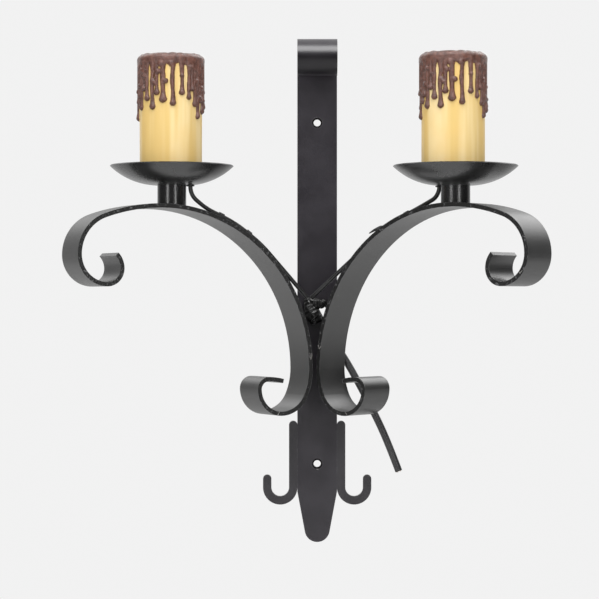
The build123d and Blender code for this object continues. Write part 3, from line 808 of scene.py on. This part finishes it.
# Each front drip: degrees round from the front, fall below the top in millimetres, half width in mm.
FRONT_DRIPS = [
    (-87, 60, 2.4), (-78, 46, 2.7), (-70, 40, 2.4), (-60, 51, 2.6), (-52, 34, 2.0), (-44, 43, 2.3),
    (-32, 51, 2.4), (-23, 38, 2.3), (-11, 45, 2.8), (7, 48, 2.3), (24, 38, 2.2), (38, 42, 2.1),
    (45, 34, 2.0), (52, 48, 2.4), (60, 59, 2.3), (68, 44, 2.7), (77, 54, 2.7), (86, 50, 2.5),
]
# Beads that a drip has caught on its way down: degrees round, drop in mm, half width in mm.
CAUGHT_BEADS = [
    (-6, 25, 2.6), (-31, 25, 3.0), (-26, 27, 2.1), (5, 9, 3.2), (-14, 9, 3.3), (63, 39, 2.5), (-66, 28, 2.6),
    (-81, 33, 3.0), (56, 24, 2.4), (73, 30, 2.8), (-47, 20, 2.3), (81, 41, 2.6), (24, 20, 2.2),
    (-20, 16, 2.6), (-58, 14, 2.6), (40, 12, 2.8),
]
# Lumps on the rim: degrees round, height in mm.
RIM_LUMPS = [(4, 0.7), (10, 0.5), (-52, 0.8), (-75, 1.3), (58, 0.9), (78, 1.3), (140, 0.9), (205, 0.8)]
BACK_DRIP_SPACING = 12.5  # degrees, from the last front drip round to the first
BACK_FALL = (32.0, 60.0)  # shortest and longest back drip in mm
COVER_TURN = {"left": 0.0, "right": 5.0}  # how each cover has been dropped on
COVER_COLUMNS = 400
COVER_FINE_DROP = 0.064  # rows are close together down to here
COVER_FINE_STEP = 0.00055
COVER_PLAIN_STEP = 0.004
COVER_ROUND = 0.0036  # rounding of the top edge
COVER_FOOT = 0.0008  # chamfer of the bottom edge
LIP_DEPTH = 0.007  # how deep the narrow mouth is
LIP_BORE = 0.0185  # its radius
INNER_BORE = 0.021  # radius below it
random_drips = np.random.default_rng(11)


def back_drips():
    """The drips round the back, evenly spread but uneven in length, in the same units as the front."""
    made = []
    turn = FRONT_DRIPS[-1][0] + BACK_DRIP_SPACING
    while turn < 360 + FRONT_DRIPS[0][0] - BACK_DRIP_SPACING / 2:
        fall = random_drips.uniform(*BACK_FALL)
        made.append((turn + random_drips.uniform(-2.5, 2.5), fall, random_drips.uniform(1.8, 2.5)))
        turn += BACK_DRIP_SPACING
    return made


ALL_DRIPS = FRONT_DRIPS + back_drips()
DRIP_WANDER = [(random_drips.uniform(0, 6.28), random_drips.uniform(0.12, 0.38)) for _ in ALL_DRIPS]


def way_round(turn, middle, radius):
    """Distance round the cover from an angle, for an array of angles."""
    return radius * (np.mod(turn - middle + math.pi, 2 * math.pi) - math.pi)


def coat_thickness(turn, drop, radius):
    """Thickness of the brown coat on the cover's side, for arrays of angle and of drop from the top."""
    heaps = [np.zeros_like(drop)]
    scallop = 0.0009 * np.sin(turn * 11 + 1.0) + 0.0006 * np.sin(turn * 23 + 2.0)
    skirt = np.clip((COAT_EDGE + scallop - drop) / COAT_FADE, 0, 1)
    heaps.append(COAT_THICK * np.sqrt(skirt))
    for (degrees_round, fall, half), (phase, wander) in zip(ALL_DRIPS, DRIP_WANDER):
        fall = fall / 1000
        half = half / 1000
        middle = math.radians(degrees_round) + wander / 1000 / radius * np.sin(drop * 190 + phase)
        across = way_round(turn, middle, radius)
        bead = half * BEAD_SWELL
        above_bead = np.clip((drop - (fall - 2.6 * bead)) / (1.6 * bead), 0, 1)
        width = half * (DRIP_NECK + 0.10 * np.sin(drop * 330 + phase))
        width = width + (bead - half * DRIP_NECK) * above_bead**2
        width = width + 0.0026 * np.exp(-np.clip(drop - 0.006, 0, None) / 0.0032)
        to_tip = np.clip((drop - (fall - bead)) / bead, 0, 1)
        tip = np.sqrt(np.clip(1 - to_tip**2, 0, 1))
        width = width * tip
        ridge = np.clip(1 - (across / np.maximum(width, 1e-6)) ** 2, 0, 1)
        proud = DRIP_THICK * (0.86 + 0.34 * above_bead) * tip
        heaps.append(np.where(drop < fall, proud * np.sqrt(ridge), 0))
    for degrees_round, fall, half in CAUGHT_BEADS:
        across = way_round(turn, math.radians(degrees_round), radius)
        reach = np.sqrt(across**2 + (drop - fall / 1000) ** 2) / (half / 1000)
        heaps.append(BEAD_THICK * np.sqrt(np.clip(1 - reach**2, 0, 1)))
    return sum(heap**HEAP_POWER for heap in heaps) ** (1 / HEAP_POWER)


def mould_unevenness(turn, drop):
    """The slight flats and swells of the hand-made mould."""
    swell = 0.00016 * np.sin(5 * turn + 0.6) + 0.00012 * np.sin(8 * turn + 2.2 + 9 * drop)
    return swell + 0.00005 * np.sin(17 * turn + 40 * drop)


def cover_profile(radius, height):
    """Rows of the cover from its foot up the outside, over the top and down the bore.

    Each row is a radius, a height above the foot, an outward direction and how much coat it takes.
    """
    rows = [(radius - COVER_FOOT, 0.0, (0.0, -1.0), 0.0), (radius, COVER_FOOT, (1.0, 0.0), 0.0)]
    drop = height - 0.003
    while drop > COVER_FINE_DROP + COVER_PLAIN_STEP:
        rows.append((radius, height - drop, (1.0, 0.0), 1.0))
        drop -= COVER_PLAIN_STEP
    for drop in np.arange(COVER_FINE_DROP, COVER_ROUND, -COVER_FINE_STEP):
        rows.append((radius, height - drop, (1.0, 0.0), 1.0))
    for bend in np.linspace(0, math.pi / 2, 13):
        away = (math.cos(bend), math.sin(bend))
        reach = radius - COVER_ROUND + COVER_ROUND * away[0]
        rows.append((reach, height - COVER_ROUND + COVER_ROUND * away[1], away, 1.0))
    for inward in np.linspace(radius - COVER_ROUND, LIP_BORE + 0.0012, 9)[1:]:
        rows.append((inward, height, (0.0, 1.0), 1.0))
    rows.append((LIP_BORE + 0.0004, height - 0.0003, (-0.5, 0.86), 0.8))
    for depth, coat in ((0.0009, 0.45), (0.002, 0.35), (0.004, 0.2), (LIP_DEPTH, 0.0)):
        rows.append((LIP_BORE, height - depth, (-1.0, 0.0), coat))
    for level in (height - LIP_DEPTH, height / 2, 0.0):
        rows.append((INNER_BORE, level, (-1.0, 0.0), 0.0))
    return rows


WAX_DARK, WAX_LIGHT, WAX_CLOUD = (0.63, 0.443, 0.160), (0.73, 0.575, 0.300), (0.70, 0.46, 0.150)
BROWN_DARK, BROWN_LIGHT, BROWN_THIN = (0.068, 0.025, 0.017), (0.138, 0.057, 0.041), (0.15, 0.064, 0.038)
BROWN_DUST = (0.40, 0.30, 0.27)
WAX_ROUGH = (0.46, 0.40)  # between the streaks, and on them
COAT_ROUGH = 0.20
RESIN_BUMP = 0.0008


def candle_material():
    """Cast resin the colour of old wax, with the brown coat where the mesh says it lies."""
    material, tree, output = material_tree("candle_resin")
    coat = add_node(tree, "ShaderNodeAttribute", attribute_name="coat").outputs["Fac"]
    covered = smooth_step(tree, coat, 0.10, 0.30)
    place = object_place(tree)
    streaks = noise(tree, stretched(tree, place, (1.0, 1.0, 0.05)), 85.0, 2.0, 0.5)
    streaks = smooth_step(tree, streaks, 0.36, 0.64)
    clouds = smooth_step(tree, noise(tree, place, 30.0, 3.0, 0.5), 0.35, 0.75)
    wax = mix_colour(tree, streaks, WAX_DARK, WAX_LIGHT)
    wax = mix_colour(tree, product(tree, clouds, 0.35), wax, WAX_CLOUD)
    skin = place_group(tree, grain, fine_scale=900.0, broad_scale=260.0, fine_share=0.5)
    brown = mix_colour(tree, skin["Tone"], BROWN_DARK, BROWN_LIGHT)
    brown = mix_colour(tree, smooth_step(tree, coat, 0.25, 0.75), BROWN_THIN, brown)
    film = place_group(tree, dust, amount=0.10, patch_scale=120.0)["Mask"]
    colour = mix_colour(tree, film, mix_colour(tree, covered, wax, brown), BROWN_DUST)
    rough = mix_value(tree, covered, smooth_step(tree, streaks, 0.0, 1.0, *WAX_ROUGH), COAT_ROUGH)
    bumpy = product(tree, skin["Height"], smooth_step(tree, coat, 0.1, 0.4, 0.10, 1.4))
    shine = smooth_step(tree, coat, 0.1, 0.4, 0.25, 0.65)
    principled(tree, output, colour, rough, bump(tree, bumpy, RESIN_BUMP), Specular_IOR_Level=shine)
    return material


candle_resin = candle_material()
for side in SIDES:
    low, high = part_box(f"{side}_candle_cover")
    centre = (low + high) / 2
    radius = (high.x - low.x) / 2
    height = high.z - low.z
    rows = cover_profile(radius, height)
    turns = np.arange(COVER_COLUMNS) * 2 * math.pi / COVER_COLUMNS
    mould_turns = turns - math.radians(COVER_TURN[side])
    points = []
    coats = []
    for reach, level, (out_way, up_way), takes in rows:
        drop = np.maximum(np.full(COVER_COLUMNS, height - level), 0.0012)
        thick = coat_thickness(mould_turns, drop, radius) * takes
        if up_way > 0.9:
            inward = reach - (radius - COVER_ROUND)
            for degrees_round, lump in RIM_LUMPS:
                across = way_round(mould_turns, math.radians(degrees_round), radius)
                thick = thick + lump / 1000 * np.exp(-(across**2 + inward**2) / LUMP_SPREAD**2)
            thick = thick + RIM_RIPPLE * np.sin(9 * mould_turns + reach * 900) * takes
        base = mould_unevenness(mould_turns, drop) if out_way > 0 else 0.0
        ring = reach + (thick + base) * out_way
        lift = level + thick * up_way * COAT_ON_TOP
        points.append(np.stack([centre.x + ring * np.sin(turns), centre.y - ring * np.cos(turns),
                                np.full(COVER_COLUMNS, low.z) + lift], axis=1))
        coats.append(thick / COAT_THICK)
    faces = []
    for row in range(len(rows)):
        following = (row + 1) % len(rows)
        faces += quads_between(row * COVER_COLUMNS, following * COVER_COLUMNS, COVER_COLUMNS)
    mesh = bpy.data.meshes.new(f"{side}_wax_cover")
    mesh.from_pydata(np.concatenate(points).tolist(), [], faces)
    coat_attribute = mesh.attributes.new("coat", "FLOAT", "POINT")
    coat_attribute.data.foreach_set("value", np.concatenate(coats).astype(np.float32))
    cover = mesh_object(f"{side}_wax_cover", mesh, candle_resin)
    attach(cover, f"{side}_candle")
    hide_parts(f"{side}_candle_cover")

# ---- Leads and splice ---------------------------------------------------------------------------
# A thin black two-core lead runs from each socket, through a rubber bushing in the pan, down the
# back of its arm under two clips, and into the wrapped splice in front of the wire hole.
lead_black = plastic("lead_black", (0.010, 0.010, 0.010), (0.020, 0.020, 0.020), 0.36, 1600.0, 0.00004)
clip_black = plastic("clip_black", (0.014, 0.014, 0.014), (0.024, 0.024, 0.024), 0.5)
rubber = plastic("bushing_rubber", (0.012, 0.012, 0.012), (0.020, 0.020, 0.020), 0.7)
shrink = plastic("heat_shrink", (0.008, 0.008, 0.008), (0.016, 0.016, 0.016), 0.28, 500.0, 0.00015)
dress([f"{side}_lead" for side in SIDES], lead_black)
dress([f"{side}_lead_clips" for side in SIDES], clip_black)
dress([f"{side}_lead_bushing" for side in SIDES], rubber)
dress(["splice_sleeve"], shrink)

# The splice is wrapped in tape with both leads, and the wrap lies over the wire hole's lower part.
WRAP_RUNS = [  # the points of each run, and its radius at each of them
    ([(-0.0098, -0.0090, -0.0040), (-0.0074, -0.0098, -0.0122), (-0.0042, -0.0092, -0.0204),
      (0.0002, -0.0072, -0.0290)], (0.0032, 0.0060, 0.0072, 0.0058)),
    ([(-0.0085, -0.0095, -0.0060), (-0.0010, -0.0105, -0.0100), (0.0045, -0.0095, -0.0105),
      (0.0080, -0.0080, -0.0065)], (0.0035, 0.0050, 0.0040, 0.0030)),
]
vertices = []
faces = []
for path, radii in WRAP_RUNS:
    run_points, run_faces = lumpy_run(path, radii, squash=0.75, ridges=0.05)
    faces += [[i + len(vertices) for i in face] for face in run_faces]
    vertices += run_points
wrap = mesh_piece("splice_wrap", vertices, faces, shrink)
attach(wrap, "frame")
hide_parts("splice_sleeve")

# A cable tie holds the right lead to its arm, and its cut tail stands off the arm's front edge.
TIE_PATH = [(0.0640, -0.0650, 0.0615), (0.0590, -0.0655, 0.0612), (0.0530, -0.0640, 0.0590),
            (0.0478, -0.0620, 0.0556)]
TIE_RADII = (0.0013, 0.0019, 0.0012, 0.0005)
tie_run = lumpy_run(TIE_PATH, TIE_RADII, squash=0.5, sides=16, steps=40, seed=8)
tie_tail = mesh_piece("right_tie_tail", *tie_run, clip_black)
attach(tie_tail, "frame")
